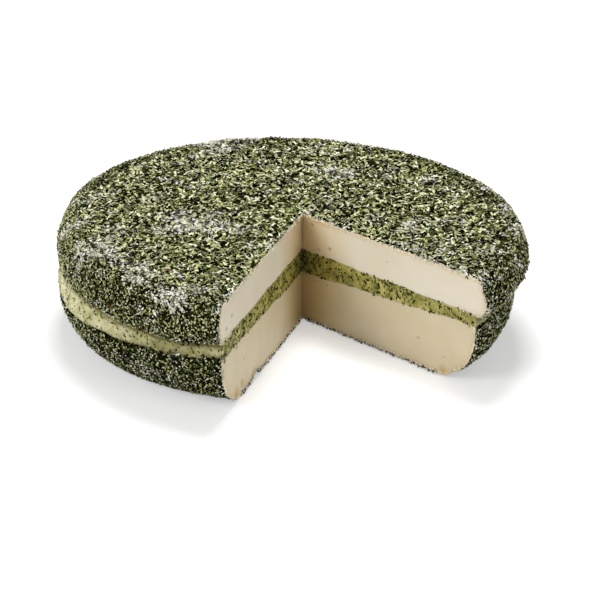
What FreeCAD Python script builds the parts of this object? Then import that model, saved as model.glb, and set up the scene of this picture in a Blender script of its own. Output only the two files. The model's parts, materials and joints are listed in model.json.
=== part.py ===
import FreeCAD, Part
import math
import os
import Sketcher
from FreeCAD import Vector

# A wheel of herb-coated goat brie, split into two slabs with a layer of herb cream between
# them, and with one wedge cut out. Millimetres, +Z up. The origin is on the underside, at the
# middle of the wheel. One cut face is parallel to the YZ plane, and the gap opens to +X and -Y.
#
# Each layer is made in the same steps: its outline is turned about the Z axis and its corners are
# rounded, the round is pressed slightly oval, the flat underside and the sloping split between the
# lower slab and the cream are cut, and the missing wedge is cut out.

DRIVING_SIZES = (
    # alias, value, what it is
    ("wheel_radius", 99.7, "upper slab's widest corner, mean of the long and the short way"),
    ("lower_recess", 3.7, "upper slab's widest corner to the lower slab's top"),
    ("cream_recess", 0.6, "lower slab's top to the herb cream's foot"),
    ("ovality", 0.038, "share by which the long way is over the mean, and the short way under"),
    ("oval_turn", -31.0, "direction of the long way, degrees from +X"),
    ("lower_shift", -2.2, "middle of the lower slab, along X"),
    ("cream_shift", -2.4, "middle of the herb cream, along X"),
    ("split_height", 22.6, "lower slab at the middle of the wheel"),
    ("split_tilt", 3.3, "slope of the lower slab's top, degrees"),
    ("split_turn", -30.0, "direction in which that top rises, degrees from +X"),
    ("cream_height", 9.9, "herb cream at the middle of the wheel"),
    ("upper_height", 17.0, "upper slab"),
    ("foot_inset", 15.5, "lower slab's side to the edge of its flat underside"),
    ("knee_inset", 6.0, "lower slab's side to the knee between underside and side"),
    ("knee_height", 6.6, "underside to that knee"),
    ("knee_round", 16.0, "round at that knee"),
    ("side_inset", 0.9, "lower slab's top to the low end of its side"),
    ("side_foot", 15.5, "underside to the low end of the side"),
    ("side_round", 8.0, "round there"),
    ("cream_inset", 1.0, "herb cream's foot to its upper edge"),
    ("cream_round", 1.4, "round of the herb cream's upper edge"),
    ("under_inset", 3.2, "upper slab's widest corner to its lower edge"),
    ("under_round", 1.2, "round of the upper slab's lower edge"),
    ("belly_height", 5.5, "upper slab's underside to its widest corner"),
    ("belly_round", 6.0, "round of that corner"),
    ("top_inset", 4.2, "upper slab's widest corner to its top edge"),
    ("top_round", 3.4, "round of the upper slab's top edge"),
    ("tip_x", 2.7, "line where the two cut faces meet"),
    ("tip_y", 5.8, "the same, in Y"),
    ("gap_angle", 64.2, "angle of the missing wedge, degrees"),
    ("tool_margin", 12.0, "how far the cutting shapes reach past the wheel"),
)

# Heights and widths that more than one shape uses. A name in braces is one of the sheet's sizes.
CREAM_TOP = "({split_height} + {cream_height})"
WHEEL_TOP = "({split_height} + {cream_height} + {upper_height})"
LOWER_RADIUS = "({wheel_radius} - {lower_recess})"
CREAM_RADIUS = "({wheel_radius} - {lower_recess} - {cream_recess})"
LONG_RADIUS = "({wheel_radius} * (1 + {ovality}))"
REACH = "(" + LONG_RADIUS + " + {tool_margin})"
# The split slopes, so before it is cut a layer runs this far past its height at the middle.
SPLIT_RISE = "(tan({split_tilt}) * " + LONG_RADIUS + ")"
# The curve of the foot runs on below the underside until that is cut flat.
FOOT_RUN_ON = "({tool_margin} * ({foot_inset} - {knee_inset}) / {knee_height})"

doc = FreeCAD.newDocument("HerbBrie")


def fill_sheet():
    """Writes the driving sizes, one row each: name, value, note."""
    table = doc.addObject("Spreadsheet::Sheet", "Sizes")
    for row, (alias, value, note) in enumerate(DRIVING_SIZES, start=1):
        table.set(f"A{row}", alias)
        table.set(f"B{row}", str(value))
        table.set(f"C{row}", note)
        table.setAlias(f"B{row}", alias)
    doc.recompute()


def bind(obj, path, formula):
    """Ties a property to the sheet by a formula with the sheet's names in braces."""
    cells = {alias: f"Sizes.{alias}" for alias, _, _ in DRIVING_SIZES}
    obj.setExpression(path, formula.format(**cells))


def hold_corner(sketch, number, axis, formula):
    """Holds one corner at its distance from the sketch's origin, or on the axis itself."""
    if formula == "0":
        other_axis = -1 if axis == "DistanceY" else -2
        sketch.addConstraint(Sketcher.Constraint("PointOnObject", number, 1, other_axis))
        return
    row = sketch.addConstraint(Sketcher.Constraint(axis, -1, 1, number, 1, 1.0))
    name = f"corner{number}{axis[-1]}"
    sketch.renameConstraint(row, name)
    bind(sketch, f"Constraints.{name}", formula)


def draw_outline(body, corners):
    """Draws half the section as a closed outline: X is out from the middle, Y is up."""
    sketch = body.newObject("Sketcher::SketchObject", body.Name + "Outline")
    plane = next(f for f in body.Origin.OriginFeatures if f.Role == "XZ_Plane")
    sketch.AttachmentSupport = [(plane, "")]
    sketch.MapMode = "FlatFace"
    # The corners start in order on a unit ring, and the constraints pull each to its place.
    step = 2 * math.pi / len(corners)
    ring = [Vector(2 + math.cos(i * step), 2 + math.sin(i * step), 0) for i in range(len(corners))]
    for number, start in enumerate(ring):
        sketch.addGeometry(Part.LineSegment(start, ring[(number + 1) % len(ring)]))
    for number in range(len(ring)):
        following = (number + 1) % len(ring)
        sketch.addConstraint(Sketcher.Constraint("Coincident", number, 2, following, 1))
    for number, (out, up) in enumerate(corners):
        hold_corner(sketch, number, "DistanceX", out)
        hold_corner(sketch, number, "DistanceY", up)
    doc.recompute()
    return sketch


def circle_at(shape, corner):
    """Names the round edge that a corner of the outline has drawn."""
    for number, edge in enumerate(shape.Edges, start=1):
        if not isinstance(edge.Curve, Part.Circle):
            continue
        off = Vector(edge.Curve.Radius - corner.x, edge.Curve.Center.z - corner.y, 0)
        if off.Length < 0.001:
            return f"Edge{number}"
    raise ValueError(f"no round edge at {corner}")


def turn_slab(name, corners, rounds):
    """Turns an outline about the Z axis, and rounds the corners that have a size for it."""
    body = doc.addObject("PartDesign::Body", name)
    sketch = draw_outline(body, corners)
    feature = body.newObject("PartDesign::Revolution", name + "Turned")
    feature.Profile = sketch
    feature.ReferenceAxis = (sketch, ["V_Axis"])
    feature.Angle = 360
    doc.recompute()
    for number, radius in rounds:
        edge = circle_at(feature.Shape, sketch.getPoint(number, 1))
        fillet = body.newObject("PartDesign::Fillet", f"{name}Round{number}")
        fillet.Base = (feature, [edge])
        bind(fillet, "Radius", radius)
        doc.recompute()
        feature = fillet
    return body


def press_oval(slab, shift):
    """Stretches a slab along its long way, narrows it across, and moves it to its middle."""
    pressed = doc.addObject("Part::Scale", slab.Name + "Pressed")
    pressed.Base = slab
    pressed.Uniform = False
    bind(pressed, "XScale", "1 + {ovality}")
    bind(pressed, "YScale", "1 - {ovality}")
    place(pressed, (shift, "0", "0"), ("{oval_turn}", "0"))
    return pressed


def place(obj, spot, turn):
    """Ties a shape's place to the sheet: its spot, its turn about Z, and its tilt after that."""
    where = "; ".join(spot)
    turned = "; ".join(turn)
    bind(obj, "Placement", f"placement(vector({where}); rotation({turned}; 0))")


def combine(kind, name, base, tool):
    """Cuts the tool from the base with Part::Cut, or keeps what they share with Part::Common."""
    result = doc.addObject(kind, name)
    result.Base = base
    result.Tool = tool
    return result


def space_below_floor():
    """Makes the space below the flat underside."""
    space = doc.addObject("Part::Cylinder", "BelowFloor")
    bind(space, "Radius", REACH)
    bind(space, "Height", "2 * {tool_margin}")
    place(space, ("0", "0", "-2 * {tool_margin}"), ("0", "0"))
    return space


def space_above_split():
    """Makes the space above the sloping split between the lower slab and the cream."""
    space = doc.addObject("Part::Cylinder", "AboveSplit")
    bind(space, "Radius", REACH)
    bind(space, "Height", WHEEL_TOP)
    place(space, ("0", "0", "{split_height}"), ("{split_turn}", "-{split_tilt}"))
    return space


def missing_wedge():
    """Makes the missing wedge, which reaches past the wheel on every side."""
    wedge = doc.addObject("Part::Cylinder", "MissingWedge")
    bind(wedge, "Radius", REACH)
    bind(wedge, "Height", WHEEL_TOP + " + 2 * {tool_margin}")
    bind(wedge, "Angle", "{gap_angle}")
    place(wedge, ("{tip_x}", "{tip_y}", "-{tool_margin}"), ("-90", "0"))
    return wedge


def lower_slab():
    """Lower half of the cheese before its underside and the split are cut."""
    corners = (
        ("0", "-{tool_margin}"),
        (LOWER_RADIUS + " - {foot_inset} - " + FOOT_RUN_ON, "-{tool_margin}"),
        (LOWER_RADIUS + " - {knee_inset}", "{knee_height}"),
        (LOWER_RADIUS + " - {side_inset}", "{side_foot}"),
        (LOWER_RADIUS, "{split_height} + " + SPLIT_RISE),
        ("0", "{split_height} + " + SPLIT_RISE),
    )
    return turn_slab("LowerSlab", corners, ((2, "{knee_round}"), (3, "{side_round}")))


def cream_layer():
    """Herb cream before the split is cut, leaning in towards its level top."""
    corners = (
        ("0", "{split_height} - " + SPLIT_RISE),
        (CREAM_RADIUS, "{split_height} - " + SPLIT_RISE),
        (CREAM_RADIUS + " - {cream_inset}", CREAM_TOP),
        ("0", CREAM_TOP),
    )
    return turn_slab("CreamLayer", corners, ((2, "{cream_round}"),))


def upper_slab():
    """Upper half of the cheese, widest low down, that overhangs the cream."""
    corners = (
        ("0", CREAM_TOP),
        ("{wheel_radius} - {under_inset}", CREAM_TOP),
        ("{wheel_radius}", CREAM_TOP + " + {belly_height}"),
        ("{wheel_radius} - {top_inset}", WHEEL_TOP),
        ("0", WHEEL_TOP),
    )
    rounds = ((1, "{under_round}"), (2, "{belly_round}"), (3, "{top_round}"))
    return turn_slab("UpperSlab", corners, rounds)


def build_layers():
    """Makes the three finished layers, each labelled with its file's name."""
    above_split = space_above_split()
    wedge = missing_wedge()
    lower = press_oval(lower_slab(), "{lower_shift}")
    lower = combine("Part::Cut", "LowerFlat", lower, space_below_floor())
    lower = combine("Part::Cut", "LowerSplit", lower, above_split)
    cream = press_oval(cream_layer(), "{cream_shift}")
    cream = combine("Part::Common", "CreamSplit", cream, above_split)
    upper = press_oval(upper_slab(), "0")
    layers = []
    for label, whole in (("lower_cheese", lower), ("herb_filling", cream), ("upper_cheese", upper)):
        layer = combine("Part::Cut", whole.Name + "Opened", whole, wedge)
        layer.Label = label
        layers.append(layer)
    return layers


def check_document():
    """Stops the build where an object has failed."""
    for obj in doc.Objects:
        if "Invalid" in obj.State or "Error" in obj.State:
            raise RuntimeError(f"{obj.Name} failed: {obj.State}")


def write_layers(layers):
    """Writes each sound layer to a file named after it."""
    for layer in layers:
        if layer.Shape.isNull() or not layer.Shape.isValid():
            raise RuntimeError(f"{layer.Label} has no sound shape")
    os.makedirs("parts", exist_ok=True)
    for layer in layers:
        layer.Shape.exportStep(f"parts/{layer.Label}.step")
        print(f"{layer.Label}: {layer.Shape.Volume / 1000:.1f} cm3")


fill_sheet()
cheese = build_layers()
doc.recompute()
check_document()
write_layers(cheese)
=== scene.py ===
import json
import math
import random

import bmesh
import bpy
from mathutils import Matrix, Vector, kdtree, noise

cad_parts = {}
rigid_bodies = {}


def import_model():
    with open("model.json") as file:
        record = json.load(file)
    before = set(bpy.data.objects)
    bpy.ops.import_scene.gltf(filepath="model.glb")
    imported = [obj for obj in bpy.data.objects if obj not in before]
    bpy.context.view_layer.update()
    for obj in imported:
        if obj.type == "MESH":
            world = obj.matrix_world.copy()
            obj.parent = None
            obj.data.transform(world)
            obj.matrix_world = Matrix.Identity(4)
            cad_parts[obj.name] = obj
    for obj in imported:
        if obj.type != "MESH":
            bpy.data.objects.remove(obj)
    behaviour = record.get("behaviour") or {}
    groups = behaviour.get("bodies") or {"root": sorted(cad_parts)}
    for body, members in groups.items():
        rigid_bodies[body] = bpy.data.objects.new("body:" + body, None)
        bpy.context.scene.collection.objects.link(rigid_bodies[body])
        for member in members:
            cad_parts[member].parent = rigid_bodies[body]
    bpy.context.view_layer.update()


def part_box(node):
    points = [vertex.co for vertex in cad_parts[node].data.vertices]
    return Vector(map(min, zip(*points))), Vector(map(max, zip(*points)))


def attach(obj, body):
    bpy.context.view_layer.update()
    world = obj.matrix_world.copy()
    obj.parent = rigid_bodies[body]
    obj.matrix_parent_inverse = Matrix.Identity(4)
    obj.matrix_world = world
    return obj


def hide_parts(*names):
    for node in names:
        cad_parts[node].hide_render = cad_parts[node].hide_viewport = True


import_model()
print("frame loaded")

mm = 0.001  # sizes are in millimetres, and heights are from the floor

# What the three layers share.
wheel = {
    "radius": 99.7,        # upper slab at its widest, mean of the long and the short way
    "ovality": 0.038,      # share by which the long way is over the mean
    "ovalTurn": -31.0,     # direction of the long way, degrees from +X
    "tip": (2.7, 5.8),     # where the two cut faces meet
    "rightCut": -25.8,     # directions of the two cut faces, degrees from +X
    "leftCut": 270.0,
    "creamTop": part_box("upper_cheese")[0].z / mm,
    "creamUneven": (0.5, 9),  # how uneven the filling's top is, and how long its waves are
    "top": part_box("upper_cheese")[1].z / mm,
    "split": 22.6,         # lower slab's top at the middle of the wheel
    "splitTilt": 3.3,      # its slope, degrees
    "splitTurn": -30.0,    # direction in which it rises
    "splitUneven": (0.8, 11),
    "sagReach": (60, 93),  # distances from the tip between which the split starts to sag
    "sagStart": (150, 195),    # directions between which it starts
    "sagEnd": (258, 269.5),    # and ends, short of the left cut
    "rings": 44,           # mesh steps from the tip to the rim
    "spokes": 330,         # mesh steps round the rim
    "cutDetail": 3,        # how often each step is cut again on the cut faces
    "coatDepth": 0.9,      # the herbs stand this far out from the rind
    "wobble": 0.5,         # unevenness of a hand-made rim
    "wobbleSize": 13,
    "ripple": 0.09,        # unevenness that the knife left
    "apexShadeReach": 32,       # painted shade: the paste is darker and warmer up to this far from the tip
}
tip = Vector((*wheel["tip"], 0))
lumpy = (0.7, 2.2, 3)  # the fractal noise of rims and filling: its roughness, step and octaves
farAway = 50  # stands for any distance at which an edge no longer shows


def smooth(low, high, value):
    # eases from 0 at the low end to 1 at the high one
    share = min(max((value - low) / (high - low), 0), 1)
    return share * share * (3 - 2 * share)


def bearing(x, y):
    return math.degrees(math.atan2(y, x))


def around(angle, middle, width):
    # 1 at the middle direction, easing to 0 at width degrees either side
    off = abs((angle - middle + 180) % 360 - 180) / width
    return 0.5 + 0.5 * math.cos(math.pi * min(off, 1))


def arcAt(angle, arc):
    # arc: (how much, its middle direction, its width)
    much, middle, width = arc
    return much * around(angle, middle, width)


def droop(x, y):
    # how much of the sag there is: the rim at the left and the front, short of the cut
    away = Vector((x, y)) - tip.xy
    angle = bearing(away.x, away.y) % 360
    return (smooth(*wheel["sagReach"], away.length) * smooth(*wheel["sagStart"], angle)
            * (1 - smooth(*wheel["sagEnd"], angle)))


def splitHeight(x, y):
    # the sloping split, a little uneven
    turn = math.radians(wheel["splitTurn"])
    along = x * math.cos(turn) + y * math.sin(turn)
    deep, long = wheel["splitUneven"]
    uneven = deep * noise.noise(Vector((x, y, 3)) / long)
    sag = (lowerSlab["sag"] + arcAt(bearing(x, y), lowerSlab["leftSag"])) * droop(x, y)
    return wheel["split"] + math.tan(math.radians(wheel["splitTilt"])) * along + uneven - sag


def creamTopHeight(x, y):
    deep, long = wheel["creamUneven"]
    uneven = deep * noise.noise(Vector((x, y, 60)) / long)
    return wheel["creamTop"] + uneven - upperSlab["sag"] * droop(x, y)


def reachOfOval(angle, radius, shift):
    # how far the oval's side lies from the tip, in a direction given in degrees
    turn = math.radians(-wheel["ovalTurn"])
    x, y = tip.x - shift, tip.y
    heading = math.radians(angle) + turn
    long, short = radius * (1 + wheel["ovality"]), radius * (1 - wheel["ovality"])
    start = Vector(((x * math.cos(turn) - y * math.sin(turn)) / long,
                    (x * math.sin(turn) + y * math.cos(turn)) / short))
    step = Vector((math.cos(heading) / long, math.sin(heading) / short))
    a, b, c = step.dot(step), start.dot(step), start.dot(start) - 1
    return (-b + math.sqrt(b * b - a * c)) / a


def roundedOutline(corners, step=1.5):
    # a section's side from its foot up, from (inset, height, round) at each corner
    spots = [Vector(corner[:2]) for corner in corners]
    outline = [spots[0]]
    for before, spot, after, corner in zip(spots, spots[1:], spots[2:], corners[1:]):
        back, on = (before - spot).normalized(), (after - spot).normalized()
        half = back.angle(on) / 2
        centre = spot + (back + on).normalized() * corner[2] / math.sin(half)
        first = spot + back * corner[2] / math.tan(half) - centre
        last = spot + on * corner[2] / math.tan(half) - centre
        turns = max(2, round(corner[2] * first.angle(last) / step))
        for n in range(turns + 1):
            outline.append(centre + first.slerp(last, n / turns).normalized() * corner[2])
    outline.append(spots[-1])
    fine = []
    for start, end in zip(outline, outline[1:]):
        parts = max(1, round((end - start).length / step))
        fine += [start.lerp(end, n / parts) for n in range(parts)]
    return fine + [outline[-1]]


rightCut, leftCut, levelTop, levelUnder, rim = range(5)  # what a face of a layer is

# A layer's corners go up its side: inset, height, round. Its recess and shift set its oval back
# from the wheel's. An arc is how much, its middle direction and its width in degrees.
lowerSlab = {
    "corners": ((20, 0, 0), (15.5, 0, 2), (6.0, 6.6, 16), (0.9, 15.5, 8), (0, 22.6, 1), (3, 22.6, 0)),
    "recess": 3.7, "shift": -2.2,
    "fuller": (3.0, 213, 44),   # arc by which its side stands out more at the front left
    "foot": (2.6, 240, 30),     # and its foot, nearer the front
    "footBack": (1.5, 270, 15),  # and by which the foot draws back at the left cut
    "sag": 1.7,                 # its top droops by this much at the left and the front
    "leftSag": (2.1, 204, 34),  # and by this arc more at the left
    "level": 12,                # the slope of the split starts at this height
    "notch": (60, 2.4, 5),      # nick in the left cut's base: distance from the tip, height, reach
    "lift": 1.0,                # the rind clears the floor, and the herbs under it fill that
    "coat": {rim: (0, 1), levelTop: (43, 1), levelUnder: (0, 0.45)},  # from which ring, how dense
}
creamLayer = {
    "corners": ((3, 0, 0), (0.2, 0, 0.8), (1, 9.9, 1), (4, 9.9, 0)),
    "recess": 4.2, "shift": -2.4,
    "overlap": 0.3,             # it reaches this far into both slabs
    "bulge": (1.5, 195, 50),    # arc by which it is squeezed out at the left
    "belly": 0.3,               # and by how much all round
    "hollow": (2.6, 258, 42),   # arc by which it is drawn in at the front
    "lumps": (0.9, 8, 5),       # how far its lumps stand out, how long and how tall they are
    "coat": {},
}
upperSlab = {
    "corners": ((8, 0, 0), (3.2, 0, 1.2), (0, 5.5, 6), (4.2, 17.0, 3.4), (10, 17.0, 0)),
    "recess": 0, "shift": 0,
    "fuller": (1.7, 208, 60),   # arc by which its lower edge stands out more at the left
    "sag": 2.3,                 # it droops by this much at the left and the front
    "topWobble": 0.5,           # share of the rim's unevenness that its top has
    "coat": {rim: (0, 1), levelTop: (0, 1), levelUnder: (41, 0.8)},
}


# How far out a point of a layer's side stands, and how high it is.
def lowerSwell(angle, height):
    low = 1 - smooth(3, 21, height)
    foot = 1 - smooth(0, 8, height)
    return (arcAt(angle, lowerSlab["fuller"]) * (0.3 + 0.9 * low + 0.3 * foot)
            + arcAt(angle, lowerSlab["foot"]) * foot - arcAt(angle, lowerSlab["footBack"]) * foot
            - wheel["coatDepth"])


def lowerHeight(x, y, height):
    # the foot is level, and the side takes up the slope of the split
    level = lowerSlab["level"]
    if height <= level:
        along, tall, reach = lowerSlab["notch"]
        nick = tip.xy + cutDirection(leftCut).xy * along
        nick = tall * (1 - smooth(0.2 * reach, reach, (Vector((x, y)) - nick).length))
        return height + (lowerSlab["lift"] + nick) * (1 - height / level)
    return level + (height - level) * (splitHeight(x, y) - level) / (wheel["split"] - level)


def creamSwell(angle, height):
    share = height / creamLayer["corners"][-1][1]
    belly = math.sin(math.pi * min(max(share, 0), 1))
    far, long, tall = creamLayer["lumps"]
    along = math.radians(angle) * 100  # along the rim, whose radius is nearly that
    lumps = far * noise.fractal(Vector((along / long, height / tall, 9)), *lumpy)
    return (arcAt(angle, creamLayer["bulge"]) * belly + creamLayer["belly"] * belly
            - arcAt(angle, creamLayer["hollow"]) + lumps * smooth(0, 0.3, share))


def creamHeight(x, y, height):
    share = height / creamLayer["corners"][-1][1]
    low = splitHeight(x, y) - creamLayer["overlap"]
    return low + share * (creamTopHeight(x, y) + creamLayer["overlap"] - low)


def upperSwell(angle, height):
    return arcAt(angle, upperSlab["fuller"]) * (1 - smooth(0, 5, height)) - wheel["coatDepth"]


def upperHeight(x, y, height):
    low = creamTopHeight(x, y)
    return low + height * (wheel["top"] - wheel["coatDepth"] - low) / upperSlab["corners"][-1][1]


# Places on a cut face: side, distance from the tip, height.
eyes = (  # small holes in the paste, with their half width and depth
    (rightCut, 5.6, 45.2, 1.0, 0.9), (rightCut, 9.6, 35.3, 0.8, 0.6), (rightCut, 15.8, 37.3, 1.0, 0.7),
    (rightCut, 14.6, 20.5, 0.7, 0.5), (rightCut, 7.3, 20.5, 0.6, 0.4), (rightCut, 66, 13, 0.7, 0.5),
    (rightCut, 48, 41, 0.6, 0.4), (rightCut, 80, 9, 0.6, 0.4), (leftCut, 86.6, 39.5, 1.2, 0.9),
    (leftCut, 93, 36.6, 1.0, 0.8), (leftCut, 73.7, 14.9, 0.7, 0.5), (leftCut, 84, 30.5, 0.5, 0.4),
    (leftCut, 82.1, 23.6, 1.1, 1.0), (leftCut, 72, 25.2, 0.8, 0.6),
)
stains = (  # where whey has browned the paste, with how far
    (leftCut, 83.5, 3, 6), (leftCut, 76, 5, 3), (leftCut, 62.6, 3.5, 3.5), (rightCut, 80, 2, 5),
)


def cutDirection(side):
    angle = math.radians(wheel["rightCut"] if side == rightCut else wheel["leftCut"])
    return Vector((math.cos(angle), math.sin(angle), 0))


def cutOutward(side):
    along = cutDirection(side)
    return Vector((along.y, -along.x, 0)) * (1 if side == rightCut else -1)


def onCut(side, place):
    # a point of a cut face in its own plane: distance from the tip, height
    return Vector(((place / mm - tip).dot(cutDirection(side)), place.z / mm, 0))


def fromCuts(spot):
    # distance of a point from the nearer cut face
    away = [abs((spot - tip).dot(cutOutward(side))) for side in (rightCut, leftCut)
            if (spot - tip).dot(cutDirection(side)) > 0]
    return min(away, default=farAway)


def addObject(name, data):
    made = bpy.data.objects.new(name, data)
    bpy.context.scene.collection.objects.link(made)
    return made


def addMesh(name, bm):
    mesh = bpy.data.meshes.new(name)
    bm.to_mesh(mesh)
    bm.free()
    return addObject(name, mesh)


def finishCuts(bm, region, coat):
    # finer mesh at the eyes, the distance to the rind, stains, knife ripples and the eyes' hollows, with
    # painted shade in the eyes, where the two cuts meet and towards the tip
    toRind, stain, apexShade, hollow = [
        bm.verts.layers.float.new(name) for name in ("toRind", "stain", "apexShade", "hollow")]
    for side in (rightCut, leftCut):
        holes = [(Vector((*eye[1:3], 0)), *eye[3:]) for eye in eyes if eye[0] == side]
        marks = [(Vector((*mark[1:3], 0)), mark[3]) for mark in stains if mark[0] == side]
        near = {edge for face in bm.faces if face[region] == side for edge in face.edges
                if any((onCut(side, edge.verts[0].co) - spot).length < 2 * wide
                       for spot, wide, deep in holes)}
        bmesh.ops.subdivide_edges(bm, edges=list(near), cuts=2, use_grid_fill=True)
        verts = {vert for face in bm.faces if face[region] == side for vert in face.verts}
        border = [vert for vert in verts if any(face[coat] > 0 for face in vert.link_faces)]
        tree = kdtree.KDTree(max(1, len(border)))
        for number, vert in enumerate(border):
            tree.insert(onCut(side, vert.co), number)
        tree.balance()
        outward = cutOutward(side)
        for vert in verts:
            place = onCut(side, vert.co)
            vert[toRind] = tree.find(place)[2] if border else farAway
            vert[stain] = max(1 - smooth(0, reach, (place - spot).length) for spot, reach in marks)
            # painted shade, darker and warmer towards the tip where the two cuts meet
            vert[apexShade] = 1 - smooth(0, wheel["apexShadeReach"], place.x)
            vert[hollow] = 0.7 * (1 - smooth(0.2, 1.3, place.x))  # shade where the two cuts meet
            drag = noise.noise(Vector((place.x / 4, place.y / 30, side + 5)))
            out = wheel["ripple"] * (noise.noise(vert.co / mm / 9) + 0.5 * drag)
            for spot, wide, deep in holes:
                # an eye is somewhat longer than it is tall
                off = Vector(((place - spot).x * 0.8, (place - spot).y * 1.3)).length / wide
                out -= deep * max(0, 1 - off * off)
                # painted shade in the eye's hollow
                vert[hollow] = max(vert[hollow], deep * (1 - smooth(0.5, 1.1, off)))
            vert.co += outward * out * mm


def makeLayer(name, sizes, swell, heightAt):
    # a closed block of rings, levels and spokes: the cut faces are its first and last spoke
    outline = roundedOutline(sizes["corners"])
    rings, spokes, levels = wheel["rings"], wheel["spokes"], len(outline) - 1
    bm = bmesh.new()
    region = bm.faces.layers.int.new("region")
    coat = bm.faces.layers.float.new("coat")
    grid = {}

    def vertex(ring, level, spoke):
        key = (ring, level, spoke) if ring else (0, level, 0)
        if key not in grid:
            inset, height = outline[level]
            angle = wheel["rightCut"] + (wheel["leftCut"] - wheel["rightCut"]) * spoke / spokes
            reach = reachOfOval(angle, wheel["radius"] - sizes["recess"] - inset, sizes["shift"])
            heading = Vector((math.cos(math.radians(angle)), math.sin(math.radians(angle)), 0))
            place = tip + heading * (reach + swell(angle, height)) * ring / rings
            place.z = heightAt(place.x, place.y, height)
            if sizes["coat"]:
                uneven = wheel["wobble"] * noise.fractal(place / wheel["wobbleSize"], *lumpy)
                place += heading * uneven * ring / rings
                place.z += sizes.get("topWobble", 0) * uneven * smooth(12, 17, height)
            grid[key] = bm.verts.new(place * mm)
        return grid[key]

    def addFace(kind, ring, *corners):
        made = []
        for corner in corners:
            vert = vertex(*corner)
            if vert not in made:
                made.append(vert)
        made = bm.faces.new(made)
        made[region] = kind
        firstRing, density = sizes["coat"].get(kind, (rings + 1, 0))
        made[coat] = density if ring >= firstRing else 0
        made.material_index = 0 if kind > leftCut else 1
        made.smooth = True

    for spoke in range(spokes):
        for ring in range(rings):
            addFace(levelTop, ring, (ring, levels, spoke), (ring + 1, levels, spoke),
                    (ring + 1, levels, spoke + 1), (ring, levels, spoke + 1))
            addFace(levelUnder, ring, (ring, 0, spoke + 1), (ring + 1, 0, spoke + 1),
                    (ring + 1, 0, spoke), (ring, 0, spoke))
        for level in range(levels):
            addFace(rim, rings, (rings, level, spoke), (rings, level, spoke + 1),
                    (rings, level + 1, spoke + 1), (rings, level + 1, spoke))
    for ring in range(rings):
        for level in range(levels):
            addFace(rightCut, ring, (ring, level, 0), (ring + 1, level, 0),
                    (ring + 1, level + 1, 0), (ring, level + 1, 0))
            addFace(leftCut, ring, (ring, level + 1, spokes), (ring + 1, level + 1, spokes),
                    (ring + 1, level, spokes), (ring, level, spokes))
    cutEdges = {edge for face in bm.faces if face[region] <= leftCut for edge in face.edges}
    bmesh.ops.subdivide_edges(bm, edges=list(cutEdges), cuts=wheel["cutDetail"], use_grid_fill=True)
    for edge in bm.edges:
        edge.smooth = len({face[region] for face in edge.link_faces} & {rightCut, leftCut, rim}) < 2
    finishCuts(bm, region, coat)
    return addMesh(name, bm)


lower = makeLayer("lowerCheese", lowerSlab, lowerSwell, lowerHeight)
cream = makeLayer("herbFilling", creamLayer, creamSwell, creamHeight)
upper = makeLayer("upperCheese", upperSlab, upperSwell, upperHeight)
print("layers made:", [len(piece.data.polygons) for piece in (lower, cream, upper)])


# Where white mould shows through the herbs.
mould = {
    "amount": 0.8,         # how much it varies
    "offset": 0.02,        # how much of it there is everywhere
    "grain": 11,           # size of its patches
    "edgeBand": 0.12,      # how much more of it there is along the upper slab's top edge
    "cutBand": 0.7,        # and along the cut faces
    "patchAmount": 0.72,   # and in each patch
    "patches": (           # direction, distance from the tip, height, reach
        (226, 88, 48, 15), (243, 88, 48, 12), (258, 92, 46, 12), (210, 52, 49, 14), (222, 42, 49, 9),
        (235, 30, 49, 8), (229, 93, 15, 10), (259, 92, 23, 6), (266, 92, 22, 5), (268, 90, 14, 5),
        (40, 95, 48, 14), (130, 90, 48, 16), (95, 50, 49, 12),
    ),
}


def mouldAt(spot):
    # 0 where herbs hide the rind, 1 where the mould is bare
    value = mould["amount"] * noise.fractal(spot / mould["grain"], 0.6, 2.3, 4) + mould["offset"]
    away = (spot - tip).xy.length
    value += mould["edgeBand"] * smooth(80, 90, away) * smooth(41, 47, spot.z)
    for angle, distance, height, reach in mould["patches"]:
        turn = math.radians(angle)
        centre = tip + Vector((math.cos(turn) * distance, math.sin(turn) * distance, height))
        value += mould["patchAmount"] * (1 - smooth(0.25 * reach, 1.3 * reach, (spot - centre).length))
    value += mould["cutBand"] * (1 - smooth(0.2, 1.2, fromCuts(spot)))
    return smooth(0, 1.0, value)


# Painted shade on the filling's side, in arcs: under the upper slab's overhang at the front and just below
# its edge; the side is also darker near the right cut.
overhangShading = {
    "front": (1.0, 262, 55),
    "upperEdge": (2.8, 250, 66),
    "edgeDepth": (0.8, 3.4),  # depths below the upper slab between which that ends
    "right": (1.3, wheel["rightCut"], 40),
    "reach": (70, 85),        # distances from the tip between which it starts
}


def overhangShadeAt(spot):
    away = spot - tip
    angle = bearing(away.x, away.y)
    below = creamTopHeight(spot.x, spot.y) - spot.z
    share = arcAt(angle, overhangShading["front"])
    share += arcAt(angle, overhangShading["upperEdge"]) * (1 - smooth(*overhangShading["edgeDepth"], below))
    share += arcAt(angle, overhangShading["right"])
    return share * smooth(*overhangShading["reach"], away.xy.length)


def addValues(piece, name, rule):
    values = [rule(vert.co / mm) for vert in piece.data.vertices]
    piece.data.attributes.new(name, "FLOAT", "POINT").data.foreach_set("value", values)


for piece in (lower, upper):
    addValues(piece, "mould", mouldAt)
addValues(cream, "overhangShade", overhangShadeAt)


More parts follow.
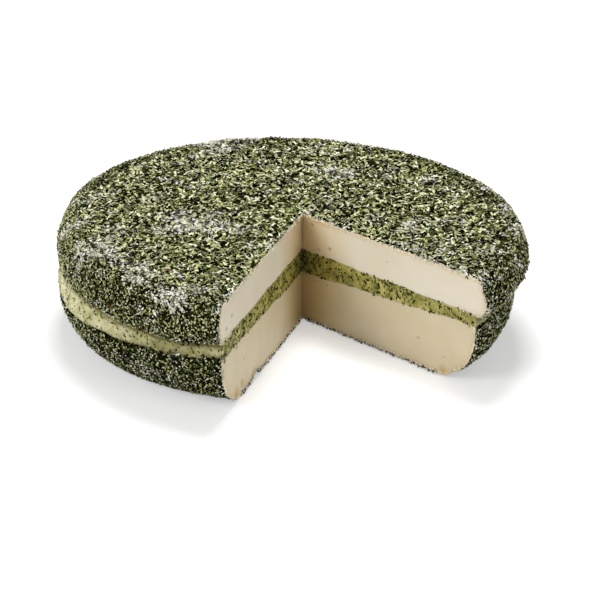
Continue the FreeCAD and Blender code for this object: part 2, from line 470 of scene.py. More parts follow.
def pickFaces(name, pieces, rules):
    # a scratch copy of the faces that small bits lie on, each with its share of every kind of bit
    bm = bmesh.new()
    for piece in pieces:
        bm.from_mesh(piece.data)
    region, coat = bm.faces.layers.int["region"], bm.faces.layers.float["coat"]
    whiteness = bm.verts.layers.float.get("mould")  # the filling has none
    shares = {kind: bm.faces.layers.float.new(kind) for kind in rules}
    for face in bm.faces:
        white = sum(vert[whiteness] for vert in face.verts) / len(face.verts) if whiteness else 0
        for kind, rule in rules.items():
            face[shares[kind]] = rule(face[region], face[coat], white, face.calc_center_median() / mm)
    return addMesh(name, bm)


def toLinear(hexColour):
    channels = [int(hexColour[n:n + 2], 16) / 255 for n in (1, 3, 5)]
    return (*(c / 12.92 if c <= 0.04045 else ((c + 0.055) / 1.055) ** 2.4 for c in channels), 1)


def addNode(tree, kind, inputs=None, **settings):
    # an input takes a value, or the socket that it is linked from
    node = tree.nodes.new(kind)
    for name, value in settings.items():
        setattr(node, name, value)
    for socket, value in (inputs or {}).items():
        if isinstance(value, bpy.types.NodeSocket):
            tree.links.new(value, node.inputs[socket])
        else:
            node.inputs[socket].default_value = value
    return node


def newMaterial(name):
    material = bpy.data.materials.new(name)
    material.use_nodes = True
    material.node_tree.nodes.clear()
    return material, material.node_tree


def finishMaterial(tree, inputs, bumps=None):
    # bumps: (height socket, depth in mm)
    normal = None
    for height, depth in bumps or ():
        settings = {"Height": height, "Distance": depth * mm, "Strength": 1.0}
        if normal:
            settings["Normal"] = normal
        normal = addNode(tree, "ShaderNodeBump", settings).outputs[0]
    shader = addNode(tree, "ShaderNodeBsdfPrincipled", inputs)
    if normal:
        tree.links.new(normal, shader.inputs["Normal"])
    addNode(tree, "ShaderNodeOutputMaterial", {"Surface": shader.outputs[0]})


def setRamp(node, stops):
    # stops: (place, colour or grey)
    ramp = node.color_ramp
    while len(ramp.elements) > 1:
        ramp.elements.remove(ramp.elements[0])
    for number, (place, colour) in enumerate(stops):
        stop = ramp.elements[0] if number == 0 else ramp.elements.new(place)
        stop.position = place
        stop.color = toLinear(colour) if isinstance(colour, str) else (colour, colour, colour, 1)
    return node.outputs[0]


def grainOf(tree, size, detail=2.0, kind="ShaderNodeTexNoise"):
    # a pattern whose grain is that many millimetres
    place = addNode(tree, "ShaderNodeTexCoord").outputs["Object"]
    settings = {"Vector": place, "Scale": 1 / (size * mm)}
    if kind == "ShaderNodeTexNoise":
        settings["Detail"] = detail
    return addNode(tree, kind, settings).outputs[0]


def layColours(tree, colour, *layers):
    # lays colours over one another: (share or its socket, colour, way of mixing)
    for share, over, way in layers:
        over = toLinear(over) if isinstance(over, str) else over
        colour = addNode(tree, "ShaderNodeMix", {0: share, 6: colour, 7: over},
                         data_type="RGBA", blend_type=way).outputs[2]
    return colour


def readMarks(tree, *names):
    # the values that the mesh carries from point to point
    return [addNode(tree, "ShaderNodeAttribute", attribute_name=name).outputs["Fac"] for name in names]


def bloomyRind():
    # rind of white mould under a rubbed-on coat of dried herbs: dull, dark where herb dust fills it, and near
    # black as painted shade in the gaps between the herbs
    material, tree = newMaterial("bloomyRind")
    bare = readMarks(tree, "mould")[0]
    # near-black herb dust, partly painted shade for the gaps between the herbs
    dust = setRamp(addNode(tree, "ShaderNodeValToRGB", {0: grainOf(tree, 1.2, 3.0)}),
                   ((0.3, "#070903"), (0.5, "#141808"), (0.72, "#2f3518")))
    fluff = setRamp(addNode(tree, "ShaderNodeValToRGB", {0: grainOf(tree, 0.8, 3.0)}),
                    ((0.3, "#b9b8a2"), (0.6, "#ecebdf")))
    white = addNode(tree, "ShaderNodeMath", {0: bare, 1: grainOf(tree, 1.5, 3.0)}, operation="ADD").outputs[0]
    white = addNode(tree, "ShaderNodeMath", {0: white, 1: 0.5}, operation="MULTIPLY").outputs[0]
    shows = setRamp(addNode(tree, "ShaderNodeValToRGB", {0: white}), ((0.68, 0.0), (0.84, 0.8)))
    colour = layColours(tree, dust, (shows, fluff, "MIX"))
    finishMaterial(tree, {"Base Color": colour, "Roughness": 0.9, "IOR": 1.45, "Specular IOR Level": 0.0},
                   [(grainOf(tree, 1.0, 4.0), 0.5)])
    return material


def goatPaste(name, deep, pale):
    # fresh, chalky goat paste, cut with a wet knife: soft sheen, light that sinks in a little
    material, tree = newMaterial(name)
    toRind, apexShade, stain, hollow = readMarks(tree, "toRind", "apexShade", "stain", "hollow")
    cloud = setRamp(addNode(tree, "ShaderNodeValToRGB", {0: grainOf(tree, 18, 3.0)}),
                    ((0.3, deep), (0.7, pale)))
    ragged = addNode(tree, "ShaderNodeMath", {0: toRind, 1: grainOf(tree, 1.6, 3.0)},
                     operation="MULTIPLY").outputs[0]
    edge = setRamp(addNode(tree, "ShaderNodeValToRGB", {0: ragged}),
                   ((0.0, "#ffffff"), (0.4, "#ffffff"), (0.55, "#faf1e3"), (1.0, "#ffffff")))
    crust = setRamp(addNode(tree, "ShaderNodeValToRGB", {0: ragged}), ((0.15, 0.9), (0.42, 0.0)))
    # painted shade: darker and warmer towards the tip
    apexShading = setRamp(addNode(tree, "ShaderNodeValToRGB", {0: apexShade}),
                   ((0.0, "#ffffff"), (0.5, "#f6eedd"), (1.0, "#d6c5a3")))
    brown = addNode(tree, "ShaderNodeMath", {0: stain, 1: grainOf(tree, 4, 3.0)},
                    operation="MULTIPLY").outputs[0]
    brown = setRamp(addNode(tree, "ShaderNodeValToRGB", {0: brown}), ((0.05, 0.0), (0.5, 0.8)))
    # painted shade where the two cuts meet and in the eyes
    shade = addNode(tree, "ShaderNodeMath", {0: hollow, 1: 0.7}, operation="MULTIPLY").outputs[0]
    colour = layColours(tree, cloud, (1.0, edge, "MULTIPLY"), (crust, "#fdf9ee", "MIX"),
                        (1.0, apexShading, "MULTIPLY"), (brown, "#c9a562", "MIX"), (shade, "#9a9268", "MIX"))
    finishMaterial(tree, {"Base Color": colour, "Roughness": 0.5, "IOR": 1.44,
                          "Subsurface Weight": 0.25, "Subsurface Radius": (1.0, 0.7, 0.4),
                          "Subsurface Scale": 0.004},
                   [(grainOf(tree, 0.7, 3.0), 0.03), (grainOf(tree, 4, 2.0), 0.06)])
    return material


def herbCream(name, pale, deep, smear, speckEdge, overhangShadeStrength, inward):
    # goat cream stirred with chopped herbs: moist, streaked with herb juice, specked with leaf; with painted
    # shade under the upper slab's overhang, and towards the tip on the cut faces
    material, tree = newMaterial(name)
    overhangShade, apexShade = readMarks(tree, "overhangShade", "apexShade")
    cloud = setRamp(addNode(tree, "ShaderNodeValToRGB", {0: grainOf(tree, 4.0, 5.0)}),
                    ((0.36, deep), (0.6, pale)))
    wash = setRamp(addNode(tree, "ShaderNodeValToRGB", {0: grainOf(tree, 7.0, 5.0)}),
                   ((0.42, 0.0), (0.66, 1.0)))
    # painted shade under the upper slab's overhang, and darker near the right cut
    lipShade = addNode(tree, "ShaderNodeMath", {0: overhangShade, 1: grainOf(tree, 5.0, 4.0)},
                  operation="MULTIPLY").outputs[0]
    lipShade = addNode(tree, "ShaderNodeMath", {0: lipShade, 1: overhangShadeStrength}, operation="MULTIPLY").outputs[0]
    speck = setRamp(addNode(tree, "ShaderNodeValToRGB", {0: grainOf(tree, 0.9, kind="ShaderNodeTexVoronoi")}),
                    ((0.0, 1.0), (0.34, 0.0)))
    thin = setRamp(addNode(tree, "ShaderNodeValToRGB", {0: grainOf(tree, 2.0, 3.0)}),
                   ((speckEdge, 0.0), (speckEdge + 0.12, 1.0)))
    fine = addNode(tree, "ShaderNodeMath", {0: speck, 1: thin}, operation="MULTIPLY").outputs[0]
    colour = layColours(tree, cloud, (wash, smear, "MIX"), (lipShade, "#6b6124", "MIX"), (fine, "#3f4822", "MIX"))
    # painted shade towards the tip where the cuts meet, on the cut faces only
    middle = setRamp(addNode(tree, "ShaderNodeValToRGB", {0: apexShade}),
                     ((0.0, "#ffffff"), (0.5, "#efe9cf"), (1.0, "#d0c79c")))
    apexShadedColour = layColours(tree, colour, (1.0, middle, "MULTIPLY"))
    colour = layColours(tree, colour, (inward, apexShadedColour, "MIX"))
    finishMaterial(tree, {"Base Color": colour, "Roughness": 0.45, "IOR": 1.44,
                          "Subsurface Weight": 0.15, "Subsurface Radius": (1.0, 0.8, 0.3),
                          "Subsurface Scale": 0.003},
                   [(grainOf(tree, 0.9, 3.0), 0.15), (grainOf(tree, 3, 3.0), 0.3)])
    return material


def driedHerb(name, stops, dusting):
    # dried, rubbed leaf: dull, each bit its own green, dusted with mould where it grows
    material, tree = newMaterial(name)
    tint, bare = readMarks(tree, "tint", "mould")
    own = setRamp(addNode(tree, "ShaderNodeValToRGB", {0: tint}), stops)
    patchy = setRamp(addNode(tree, "ShaderNodeValToRGB", {0: grainOf(tree, 9, 3.0)}),
                     ((0.3, 0.72), (0.5, 1.0), (0.7, 1.0)))
    dust = setRamp(addNode(tree, "ShaderNodeValToRGB", {0: bare}), ((0.3, 0.0), (0.9, 1.0)))
    for part in (grainOf(tree, 0.7, 2.0), dusting):
        dust = addNode(tree, "ShaderNodeMath", {0: dust, 1: part}, operation="MULTIPLY").outputs[0]
    colour = layColours(tree, own, (1.0, patchy, "MULTIPLY"), (dust, "#eeebd8", "MIX"))
    finishMaterial(tree, {"Base Color": colour, "Roughness": 0.7, "IOR": 1.45, "Specular IOR Level": 0.01},
                   [(grainOf(tree, 0.5, 2.0), 0.05)])
    return material


rindFinish = bloomyRind()
freshPaste = goatPaste("freshGoatPaste", "#ece1ca", "#f2e9d6")
# the lower slab's paste is a darker, warmer copy of the upper one's: painted shade
shadedLowerPaste = goatPaste("shadedLowerGoatPaste", "#d9caa7", "#e2d4b5")
creamCut = herbCream("herbCreamCut", "#cec376", "#a79c4a", "#8b873c", 0.42, 0.0, 1.0)
creamRim = herbCream("herbCreamRim", "#fbf5cc", "#e3db97", "#b3b36c", 0.45, 1.2, 0.0)
for piece, finishes in ((lower, (rindFinish, shadedLowerPaste)), (cream, (creamRim, creamCut)),
                        (upper, (rindFinish, freshPaste))):
    for finish in finishes:
        piece.data.materials.append(finish)
print("materials made")


def bitObject(name, verts, faces):
    mesh = bpy.data.meshes.new(name)
    mesh.from_pydata([Vector(vert) * mm for vert in verts], [], faces)
    return bpy.data.objects.new(name, mesh)


def leafBit(name, dice, long, wide):
    # a scrap of dried leaf: folded along its middle, curled along its length, six-sided
    fold, curl, thick = dice.uniform(0.1, 0.5), dice.uniform(-0.08, 0.14), 0.09
    outline = [(-0.5, dice.uniform(-0.2, 0.2)), (-0.22, -0.5), (0.25, dice.uniform(-0.5, -0.3)),
               (0.5, dice.uniform(-0.3, 0.3)), (0.2, 0.5), (-0.28, dice.uniform(0.25, 0.5))]
    outline = [(x * long * dice.uniform(0.9, 1.1), y * wide) for x, y in outline]
    verts = [(x, y, fold * abs(y) + curl * x * x) for x, y in outline]
    verts += [(0, 0, thick), (0, 0, -thick)]
    faces = [(6, n, (n + 1) % 6) for n in range(6)] + [(7, (n + 1) % 6, n) for n in range(6)]
    return bitObject(name, verts, faces)


def stalkBit(name, dice, long, wide):
    # a bent three-sided bit of stalk
    verts = []
    for x in (-0.5, 0.05, 0.5):
        lift, aside = dice.uniform(0, 0.15) * wide, dice.uniform(-0.5, 0.5) * wide
        for turn in range(3):
            angle = turn * math.tau / 3
            verts.append((x * long, aside + wide / 2 * math.cos(angle), lift + wide / 2 * math.sin(angle)))
    faces = [(0, 2, 1), (6, 7, 8)]
    for ring in (0, 3):
        for turn in range(3):
            on = (turn + 1) % 3
            faces.append((ring + turn, ring + on, ring + 3 + on, ring + 3 + turn))
    return bitObject(name, verts, faces)


def tuftBit(name, dice, long, wide):
    # an uneven lump of mould or crumb, flatter than it is wide
    verts = []
    for axis in range(3):
        for sign in (1, -1):
            spot = [dice.uniform(-0.15, 0.15) for _ in range(3)]
            spot[axis] += 0.5 * sign * dice.uniform(0.7, 1.2)
            verts.append((spot[0] * long, spot[1] * wide, spot[2] * wide * 0.6))
    faces = [(0, 2, 4), (2, 1, 4), (1, 3, 4), (3, 0, 4), (2, 0, 5), (1, 2, 5), (3, 1, 5), (0, 3, 5)]
    return bitObject(name, verts, faces)


def makeBits(name, shape, count, long, wide, seed):
    # several shapes of one kind, for a tree to choose from
    dice = random.Random(seed)
    bits = bpy.data.collections.new(name)
    bpy.context.scene.collection.children.link(bits)
    for number in range(count):
        bits.objects.link(shape(f"{name}{number}", dice, dice.uniform(*long), dice.uniform(*wide)))
    return bits


def newTree(name, sockets):
    tree = bpy.data.node_groups.new(name, "GeometryNodeTree")
    for label, kind in sockets:
        tree.interface.new_socket(label, in_out="INPUT", socket_type="NodeSocket" + kind)
    tree.interface.new_socket("Geometry", in_out="OUTPUT", socket_type="NodeSocketGeometry")
    return tree, addNode(tree, "NodeGroupInput").outputs


def placeBits(tree, given, points, rotation, grain=None):
    # puts a bit at each point, gives it a tint, and makes all of them one real mesh
    bits = addNode(tree, "GeometryNodeCollectionInfo", {
        "Collection": given["Bits"], "Separate Children": True, "Reset Children": True}).outputs[0]
    size = addNode(tree, "FunctionNodeRandomValue", {
        2: given["Smallest"], 3: given["Largest"], "Seed": given["Seed"]}, data_type="FLOAT").outputs[1]
    if grain:
        size = addNode(tree, "ShaderNodeMath", {0: size, 1: grain}, operation="MULTIPLY").outputs[0]
    placed = addNode(tree, "GeometryNodeInstanceOnPoints", {
        "Points": points, "Instance": bits, "Pick Instance": True, "Rotation": rotation,
        "Scale": size}).outputs[0]
    tint = addNode(tree, "FunctionNodeRandomValue", {"Seed": 7}, data_type="FLOAT").outputs[1]
    placed = addNode(tree, "GeometryNodeStoreNamedAttribute", {
        "Geometry": placed, "Name": "tint", "Value": tint}, domain="INSTANCE", data_type="FLOAT").outputs[0]
    real = addNode(tree, "GeometryNodeRealizeInstances", {0: placed}).outputs[0]
    done = addNode(tree, "GeometryNodeSetMaterial", {
        "Geometry": real, "Material": given["Finish"]}).outputs[0]
    addNode(tree, "NodeGroupOutput", {0: done})


def coatTree():
    # bits strewn over faces, by a share that the faces carry
    tree, given = newTree("strewnCoat", (
        ("Surface", "Object"), ("Bits", "Collection"), ("Finish", "Material"), ("Share", "String"),
        ("Density", "Float"), ("Smallest", "Float"), ("Largest", "Float"), ("Tilt", "Float"),
        ("Lift", "Float"), ("Seed", "Int")))
    surface = addNode(tree, "GeometryNodeObjectInfo", {"Object": given["Surface"]}).outputs["Geometry"]
    share = addNode(tree, "GeometryNodeInputNamedAttribute", {"Name": given["Share"]},
                    data_type="FLOAT").outputs[0]
    density = addNode(tree, "ShaderNodeMath", {0: given["Density"], 1: share},
                      operation="MULTIPLY").outputs[0]
    spots = addNode(tree, "GeometryNodeDistributePointsOnFaces", {
        "Mesh": surface, "Density": density, "Seed": given["Seed"]}).outputs
    rise = addNode(tree, "FunctionNodeRandomValue", {2: 0.0, 3: given["Lift"], "Seed": 3},
                   data_type="FLOAT").outputs[1]
    grain = addNode(tree, "GeometryNodeInputNamedAttribute", {"Name": "grain"}, data_type="FLOAT").outputs[0]
    rise = addNode(tree, "ShaderNodeMath", {0: rise, 1: grain}, operation="MULTIPLY").outputs[0]
    offset = addNode(tree, "ShaderNodeVectorMath", {0: spots["Normal"], "Scale": rise},
                     operation="SCALE").outputs[0]
    points = addNode(tree, "GeometryNodeSetPosition", {
        "Geometry": spots["Points"], "Offset": offset}).outputs[0]
    down = addNode(tree, "ShaderNodeMath", {0: given["Tilt"], 1: -1.0}, operation="MULTIPLY").outputs[0]
    least = addNode(tree, "ShaderNodeCombineXYZ", {0: down, 1: down, 2: 0.0}).outputs[0]
    most = addNode(tree, "ShaderNodeCombineXYZ", {0: given["Tilt"], 1: given["Tilt"], 2: math.tau}).outputs[0]
    turn = addNode(tree, "FunctionNodeRandomValue", {0: least, 1: most, "Seed": 5},
                   data_type="FLOAT_VECTOR").outputs[0]
    turn = addNode(tree, "FunctionNodeEulerToRotation", {0: turn}).outputs[0]
    rotation = addNode(tree, "FunctionNodeRotateRotation", {0: spots["Rotation"], 1: turn},
                       rotation_space="LOCAL").outputs[0]
    placeBits(tree, given, points, rotation, grain)
    return tree


def edgeTree():
    # bits strung along an edge, jostled off it
    tree, given = newTree("strungEdge", (
        ("Edge", "Object"), ("Bits", "Collection"), ("Finish", "Material"), ("Spacing", "Float"),
        ("Smallest", "Float"), ("Largest", "Float"), ("Jostle", "Float"), ("Seed", "Int")))
    edge = addNode(tree, "GeometryNodeObjectInfo", {"Object": given["Edge"]}).outputs["Geometry"]
    path = addNode(tree, "GeometryNodeMeshToCurve", {0: edge}).outputs[0]
    path = addNode(tree, "GeometryNodeResampleCurve", {"Curve": path, "Length": given["Spacing"]},
                   mode="LENGTH").outputs[0]
    back = addNode(tree, "ShaderNodeMath", {0: given["Jostle"], 1: -1.0}, operation="MULTIPLY").outputs[0]
    least = addNode(tree, "ShaderNodeCombineXYZ", {0: back, 1: back, 2: back}).outputs[0]
    most = addNode(tree, "ShaderNodeCombineXYZ", {n: given["Jostle"] for n in range(3)}).outputs[0]
    offset = addNode(tree, "FunctionNodeRandomValue", {0: least, 1: most, "Seed": given["Seed"]},
                     data_type="FLOAT_VECTOR").outputs[0]
    points = addNode(tree, "GeometryNodeSetPosition", {"Geometry": path, "Offset": offset}).outputs[0]
    turn = addNode(tree, "FunctionNodeRandomValue", {0: (0, 0, 0), 1: (math.tau,) * 3, "Seed": 11},
                   data_type="FLOAT_VECTOR").outputs[0]
    turn = addNode(tree, "FunctionNodeEulerToRotation", {0: turn}).outputs[0]
    placeBits(tree, given, points, turn)
    return tree


pressed = 0.04  # bits under the floor's height are flattened to this share, where the wheel rests


def grow(name, tree, values):
    # runs a tree, and keeps what it makes as a plain mesh
    piece = addObject(name, bpy.data.meshes.new(name))
    modifier = piece.modifiers.new("grow", "NODES")
    modifier.node_group = tree
    for item in tree.interface.items_tree:
        if item.in_out == "INPUT":
            modifier[item.identifier] = values[item.name]
    bpy.context.view_layer.update()
    depsgraph = bpy.context.evaluated_depsgraph_get()
    mesh = bpy.data.meshes.new_from_object(piece.evaluated_get(depsgraph), preserve_all_data_layers=True,
                                           depsgraph=depsgraph)
    piece.modifiers.clear()
    piece.data = mesh
    for vert in mesh.vertices:
        vert.co.z = max(vert.co.z, pressed * vert.co.z)
    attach(piece, "root")
    print(name, "triangles:", sum(len(face.vertices) - 2 for face in mesh.polygons))


leafBits = makeBits("leafBits", leafBit, 10, (2.0, 4.2), (0.8, 1.6), 1)
stalkBits = makeBits("stalkBits", stalkBit, 5, (1.8, 3.8), (0.25, 0.45), 2)
tuftBits = makeBits("tuftBits", tuftBit, 6, (0.7, 1.3), (0.5, 0.9), 3)
strewn, strung = coatTree(), edgeTree()


# How thickly each kind of bit lies on a face, from its region, coat, share of mould and middle.
hidden = 0.35  # share of the herbs that is missing where the mould is bare


def leafShare(region, coat, white, spot):
    # long leaves keep off the very edge, which the knife drew clean
    return coat * (1 - hidden * white) * smooth(-0.4, 1.3, fromCuts(spot)) if region != rim else 0


def crumbShare(region, coat, white, spot):
    return coat * (1 - hidden * white) * (1 if region == rim else 0.2) * smooth(-0.6, 1.2, fromCuts(spot))


def brightCrumbShare(region, coat, white, spot):
    # the upper slab's side is the paler one, and most of all at the left
    left = around(bearing(spot.x, spot.y), 200, 50)
    return crumbShare(region, coat, white, spot) * ((1.15 + 1.5 * left) if spot.z > 30 else 0.35)


def tuftShare(region, coat, white, spot):
    fleck = smooth(-0.2, 0.3, noise.noise(spot / 1.9))
    return coat * ((0.45 if region == rim else 0.25) + 0.9 * white * fleck)


def fleckShare(region, coat, white, spot):
    low = 0.6 if spot.z < 26 else 1
    return coat * low * smooth(0.12, 0.7, white) * smooth(-0.05, 0.2, noise.noise(spot / 3.2))


def strayShare(region, coat, white, spot):
    return coat if region == rim and 30 < spot.z < 46 else 0


def herbGrain(region, coat, white, spot):
    # bits are smaller low down, where the wheel rests on them
    return 0.5 if region == levelUnder and spot.z < 5 else 0.5 + 0.5 * smooth(1, 8, spot.z)


def speckShare(region, coat, white, spot):
    # chopped herbs in the cream lie in clumps, and most of them at the tip
    clumps = 0.55 + 2.2 * max(0, noise.noise(spot / 5))
    apex = 4.0 * (1 - smooth(1, 6, (spot - tip).xy.length))
    share = {rightCut: 1, leftCut: 0.75, rim: 0.4}.get(region, 0)
    return share * (clumps + apex * (region != rim))


def speckGrain(region, coat, white, spot):
    return 1.0 if region <= leftCut else 0.8


coatFaces = pickFaces("coatFaces", (lower, upper), {
    "leaf": leafShare, "crumb": crumbShare, "brightCrumb": brightCrumbShare,
    "tuft": tuftShare, "fleck": fleckShare, "stray": strayShare, "grain": herbGrain})
creamFaces = pickFaces("creamFaces", (cream,), {"speck": speckShare, "grain": speckGrain})

# The strewn pieces: density for each square millimetre, sizes as shares of a bit's own, tilt in
# radians, and how high over the face they lie at most.
herbs = {
    "greenLeaves": dict(
        bits=leafBits, share="leaf", density=0.25, sizes=(0.6, 1.05), tilt=0.4, lift=0.9, seed=11,
        stops=((0, "#3a441e"), (0.4, "#687339"), (0.8, "#97a25e"), (1, "#c1c78f"))),
    # pale herb bits: partly pale leaf, partly painted highlight for the lit edges of flakes
    "paleLeaves": dict(
        bits=leafBits, share="leaf", density=0.31, sizes=(0.5, 0.95), tilt=0.45, lift=1.0, seed=12,
        stops=((0, "#b0b371"), (0.3, "#dbdc9f"), (0.7, "#f4f3c6"), (1, "#fefde8"))),
    # near-black herb bits: partly dark leaf, partly painted shade for the gaps between flakes
    "darkLeaves": dict(
        bits=leafBits, share="leaf", density=0.23, sizes=(0.75, 1.15), tilt=0.4, lift=0.9, seed=13,
        stops=((0, "#060601"), (0.6, "#111104"), (1, "#29290f")), dusting=0.15),
    "strawBits": dict(
        bits=stalkBits, share="leaf", density=0.07, sizes=(0.6, 1.0), tilt=0.4, lift=1.0, seed=14,
        stops=((0, "#b5ab70"), (0.5, "#dcd8ac"), (0.9, "#f3f0d6"), (1, "#8a5a2c"))),
    "rimLeaves": dict(
        bits=leafBits, share="crumb", density=0.27, sizes=(0.3, 0.65), tilt=0.6, lift=0.7, seed=16,
        stops=((0, "#39401f"), (0.5, "#6c7440"), (0.85, "#a5a970"), (1, "#dedcb4"))),
    "greenCrumbs": dict(
        bits=tuftBits, share="crumb", density=0.46, sizes=(0.9, 1.6), tilt=0.6, lift=0.6, seed=17,
        stops=((0, "#343b1c"), (0.45, "#6a7240"), (0.8, "#a2a66c"), (1, "#d2d2a4"))),
    "paleCrumbs": dict(
        bits=tuftBits, share="brightCrumb", density=0.3, sizes=(0.7, 1.4), tilt=0.6, lift=0.75, seed=20,
        stops=((0, "#a2a866"), (0.4, "#d2d48c"), (0.8, "#f0eebb"), (1, "#fbf9e0"))),
    # near-black crumbs: partly dark herb, partly painted shade between the rim's crumbs
    "darkCrumbs": dict(
        bits=tuftBits, share="crumb", density=0.34, sizes=(1.0, 1.8), tilt=0.6, lift=0.6, seed=18,
        stops=((0, "#0a0a03"), (0.6, "#191908"), (1, "#2f3014")), dusting=0.15),
    "strayLeaves": dict(
        bits=leafBits, share="stray", density=0.012, sizes=(0.8, 1.5), tilt=0.9, lift=0.5, seed=22,
        stops=((0, "#16180a"), (0.6, "#33381a"), (1, "#6b4a26"))),
    "mouldTufts": dict(
        bits=tuftBits, share="tuft", density=0.5, sizes=(0.5, 1.3), tilt=0.6, lift=0.9, seed=15,
        stops=((0, "#cfcfb2"), (0.4, "#ecebda"), (1, "#fbfaf0"))),
    "mouldFlecks": dict(
        bits=tuftBits, share="fleck", density=0.85, sizes=(1.0, 2.2), tilt=0.5, lift=0.9, seed=19,
        stops=((0, "#e2e2d2"), (0.4, "#f3f3ea"), (1, "#fdfcf7"))),
    "creamSpecks": dict(
        bits=leafBits, share="speck", density=0.75, sizes=(0.25, 0.8), tilt=0.12, lift=0.04, seed=21,
        stops=((0, "#1e2010"), (0.4, "#3a401e"), (0.7, "#646a36"), (1, "#8f8e50")), dusting=0,
        faces=creamFaces, finish="moistHerb"),
}
perArea = 1 / mm ** 2  # turns a density for each square millimetre into Blender's
for name, sizes in herbs.items():
    smallest, largest = sizes["sizes"]
    finish = driedHerb(sizes.get("finish", name), sizes["stops"], sizes.get("dusting", 0.7))
    grow(name, strewn, {
        "Surface": sizes.get("faces", coatFaces), "Bits": sizes["bits"], "Finish": finish,
        "Share": sizes["share"], "Density": sizes["density"] * perArea, "Smallest": smallest,
        "Largest": largest, "Tilt": sizes["tilt"], "Lift": sizes["lift"] * mm, "Seed": sizes["seed"],
    })


def cutBorder(name, slabs, keep, out, inward):
    # a scratch copy of the edges for which keep(their faces' regions, coated) holds,
    # moved so many millimetres out of the cut face and in from the coat
    border = bmesh.new()
    for slab in slabs:
        bm = bmesh.new()
        bm.from_mesh(slab.data)
        region, coat = bm.faces.layers.int["region"], bm.faces.layers.float["coat"]
        for edge in bm.edges:
            regions = {face[region] for face in edge.link_faces}
            if keep(regions, any(face[region] > leftCut and face[coat] > 0 for face in edge.link_faces)):
                shift = Vector()
                for face in edge.link_faces:
                    shift += face.normal * (out if face[region] <= leftCut else -inward) * mm
                border.edges.new([border.verts.new(vert.co + shift) for vert in edge.verts])
        bm.free()
    bmesh.ops.remove_doubles(border, verts=border.verts, dist=0.1 * mm)
    return addMesh(name, border)


def rindBorder(regions, coated):
    # where a cut face meets the coat
    return coated and len(regions) == 2 and min(regions) <= leftCut < max(regions)


def footBorder(regions, coated):
    # where a cut face meets the floor
    return coated and levelUnder in regions and min(regions) <= leftCut


def creamBorder(regions, coated):
    # where a slab's side meets the face that lies on the filling
    return regions == {rim, levelUnder} or regions == {rim, levelTop}


# The pieces strung along an edge: spacing and jostle in millimetres, sizes as shares of a bit's own.
strips = {
    "rindFringe": dict(
        slabs=(lower, upper), border=rindBorder, shift=(0.2, 0.3), bits=tuftBits,
        spacing=0.3, sizes=(0.6, 1.5), jostle=0.35, seed=31,
        finish=driedHerb("driedMould", ((0, "#eedfba"), (1, "#fcf4de")), 0)),
    "rindCurls": dict(
        slabs=(lower, upper), border=rindBorder, bits=leafBits,
        spacing=0.8, sizes=(0.25, 0.6), jostle=0.35, seed=32,
        finish=driedHerb(
            "peeledRind", ((0, "#5b6234"), (0.3, "#d9cfa8"), (0.6, "#f2e7c9"), (1, "#fdf7e4")), 0)),
    "lipHerbs": dict(
        slabs=(lower, upper), border=creamBorder, bits=leafBits,
        spacing=0.3, sizes=(0.3, 0.75), jostle=1.1, seed=33,
        finish=driedHerb(
            "lipHerb", ((0, "#10140a"), (0.5, "#39481d"), (0.9, "#849548"), (1, "#dcdcb4")), 0.6)),
    # dark crumbs all round under the upper slab's lower lip: painted shadow under its overhang
    "lipCrumbs": dict(
        slabs=(upper,), border=creamBorder, bits=tuftBits,
        spacing=0.34, sizes=(1.0, 2.0), jostle=0.7, seed=36,
        finish=driedHerb("shadedHerb", ((0, "#0b0a03"), (0.6, "#241f0c"), (1, "#574a20")), 0)),
    "creamSmears": dict(
        slabs=(lower,), border=creamBorder, bits=tuftBits,
        spacing=1.6, sizes=(1.2, 3.2), jostle=0.8, seed=35, finish=creamRim, slot="herb_cream"),
    "footCrumbs": dict(
        slabs=(lower,), border=footBorder, bits=tuftBits,
        spacing=0.3, sizes=(0.8, 1.5), jostle=0.45, seed=34,
        finish=driedHerb("footHerb", ((0, "#0b0d06"), (0.7, "#2c3018"), (1, "#c9c7ac")), 0)),
}
scratches = [coatFaces, creamFaces]
for name, sizes in strips.items():
    smallest, largest = sizes["sizes"]
    edge = cutBorder(name + "Edge", sizes["slabs"], sizes["border"], *sizes.get("shift", (0, 0)))
    grow(name, strung, {
        "Edge": edge, "Bits": sizes["bits"], "Finish": sizes["finish"],
        "Spacing": sizes["spacing"] * mm, "Smallest": smallest, "Largest": largest,
        "Jostle": sizes["jostle"] * mm, "Seed": sizes["seed"]})
    scratches.append(edge)

for scratch in scratches:
    bpy.data.objects.remove(scratch)
for bits in (leafBits, stalkBits, tuftBits):
    for bit in list(bits.objects):
        bpy.data.objects.remove(bit)
    bpy.data.collections.remove(bits)
print("herbs strewn")


view = {
    "spot": (313.1, -932.7, 455.2),  # the camera's place
    "heading": (-0.2902, 0.8623, -0.4150),
    "lens": 153.2,
    "shift": (0.017, 0.0168),
    "nearest": 50,                   # nothing nearer to it is drawn
}
camera = addObject("camera", bpy.data.cameras.new("camera"))
camera.location = Vector(view["spot"]) * mm
camera.rotation_euler = Vector(view["heading"]).to_track_quat("-Z", "Y").to_euler()
camera.data.lens = view["lens"]
camera.data.shift_x, camera.data.shift_y = view["shift"]
camera.data.clip_start = view["nearest"] * mm
bpy.context.scene.camera = camera
bpy.context.scene.view_settings.view_transform = "Standard"


def whereSeen(tree):
    # 1 for what the camera, a reflection or clear glass sees, 0 for light that falls on the cheese
    rays = addNode(tree, "ShaderNodeLightPath").outputs
    seen = rays["Is Camera Ray"]
    for ray in ("Is Glossy Ray", "Is Transmission Ray"):
        seen = addNode(tree, "ShaderNodeMath", {0: seen, 1: rays[ray]}, operation="ADD",
                       use_clamp=True).outputs[0]
    return seen


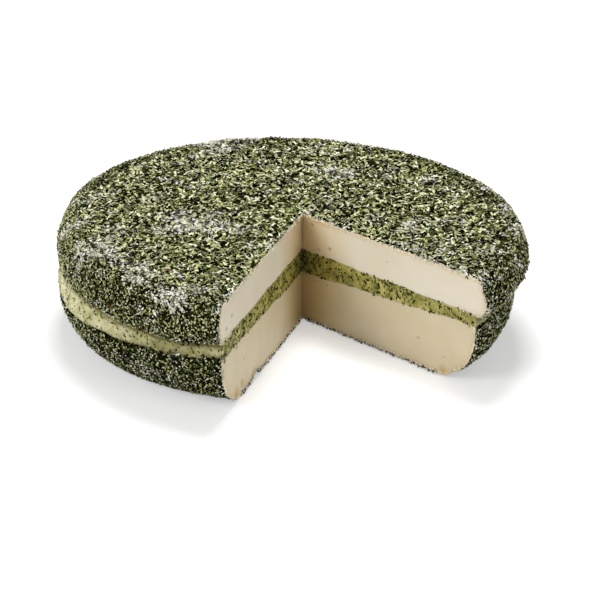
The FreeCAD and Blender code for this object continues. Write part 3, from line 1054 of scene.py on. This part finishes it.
studio = {"sky": 0.3, "floorGlow": 0.42, "floorColour": "#dedede", "floorSize": 3.0}
world = bpy.data.worlds.new("studio")
bpy.context.scene.world = world
world.use_nodes = True
tree = world.node_tree
tree.nodes.clear()
soft = addNode(tree, "ShaderNodeBackground", {"Strength": studio["sky"], "Color": toLinear("#ffffff")})
white = addNode(tree, "ShaderNodeBackground", {"Strength": 1.0, "Color": toLinear("#ffffff")})
sky = addNode(tree, "ShaderNodeMixShader", {0: whereSeen(tree), 1: soft.outputs[0], 2: white.outputs[0]})
addNode(tree, "ShaderNodeOutputWorld", {"Surface": sky.outputs[0]})

half = studio["floorSize"] / 2
floorMesh = bpy.data.meshes.new("floor")
floorCorners = [(-half, -half, 0), (half, -half, 0), (half, half, 0), (-half, half, 0)]
floorMesh.from_pydata(floorCorners, [], [(0, 1, 2, 3)])
floor = addObject("floor", floorMesh)
floorFinish, tree = newMaterial("studioFloor")
glow = addNode(tree, "ShaderNodeMath", {0: whereSeen(tree), 1: studio["floorGlow"]}, operation="MULTIPLY")
finishMaterial(tree, {
    "Base Color": toLinear(studio["floorColour"]), "Roughness": 1.0, "Specular IOR Level": 0.0,
    "Emission Color": toLinear("#ffffff"), "Emission Strength": glow.outputs[0]})
floorMesh.materials.append(floorFinish)

lamps = {  # square lamps that face the middle of the floor: place and side in metres, power in watts
    "key": {"spot": (-0.1, 0.45, 1.3), "side": 0.45, "power": 11.9},
    "front": {"spot": (-0.8, -1.1, 0.8), "side": 0.8, "power": 10.8},
    "side": {"spot": (1.3, -0.5, 0.6), "side": 0.6, "power": 4.1},
}
for name, sizes in lamps.items():
    light = bpy.data.lights.new(name, "AREA")
    light.shape = "SQUARE"
    light.size = sizes["side"]
    light.energy = sizes["power"]
    lamp = addObject(name, light)
    lamp.location = sizes["spot"]
    lamp.rotation_euler = (-Vector(sizes["spot"])).to_track_quat("-Z", "Y").to_euler()
print("studio made")

for piece, node, slot in ((lower, "lower_cheese", "cheese"), (cream, "herb_filling", "herb_cream"),
                          (upper, "upper_cheese", "cheese")):
    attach(piece, "root")
    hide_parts(node)
